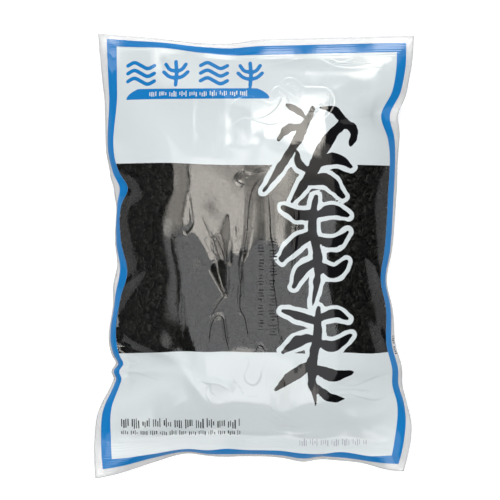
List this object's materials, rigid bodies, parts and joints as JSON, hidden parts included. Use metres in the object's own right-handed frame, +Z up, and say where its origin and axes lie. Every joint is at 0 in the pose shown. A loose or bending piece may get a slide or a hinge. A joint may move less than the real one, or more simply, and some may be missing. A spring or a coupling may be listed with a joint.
{
  "type": "pouch of dried wakame",
  "caption": "Sealed printed film pouch lying on its back, full of dried cut wakame that shows through a clear window.",
  "frame": {"origin": "on the surface that the pouch lies on, under the middle of its box", "axes": "+Z up, away from the surface and towards the printed front; +Y along the pouch to its top end; +X to the right of the printed front"},
  "size_m": [0.2406, 0.3334, 0.0509],
  "materials": {
    "front_film": "glossy clear film with white panels and a blue border line printed inside it",
    "back_film": "glossy film printed white inside",
    "wakame": "dry, wrinkled and nearly black with an olive tint"
  },
  "bodies": {
    "root": {"front_film": "front_film", "back_film": "back_film", "wakame": "wakame"}
  },
  "joints": []
}
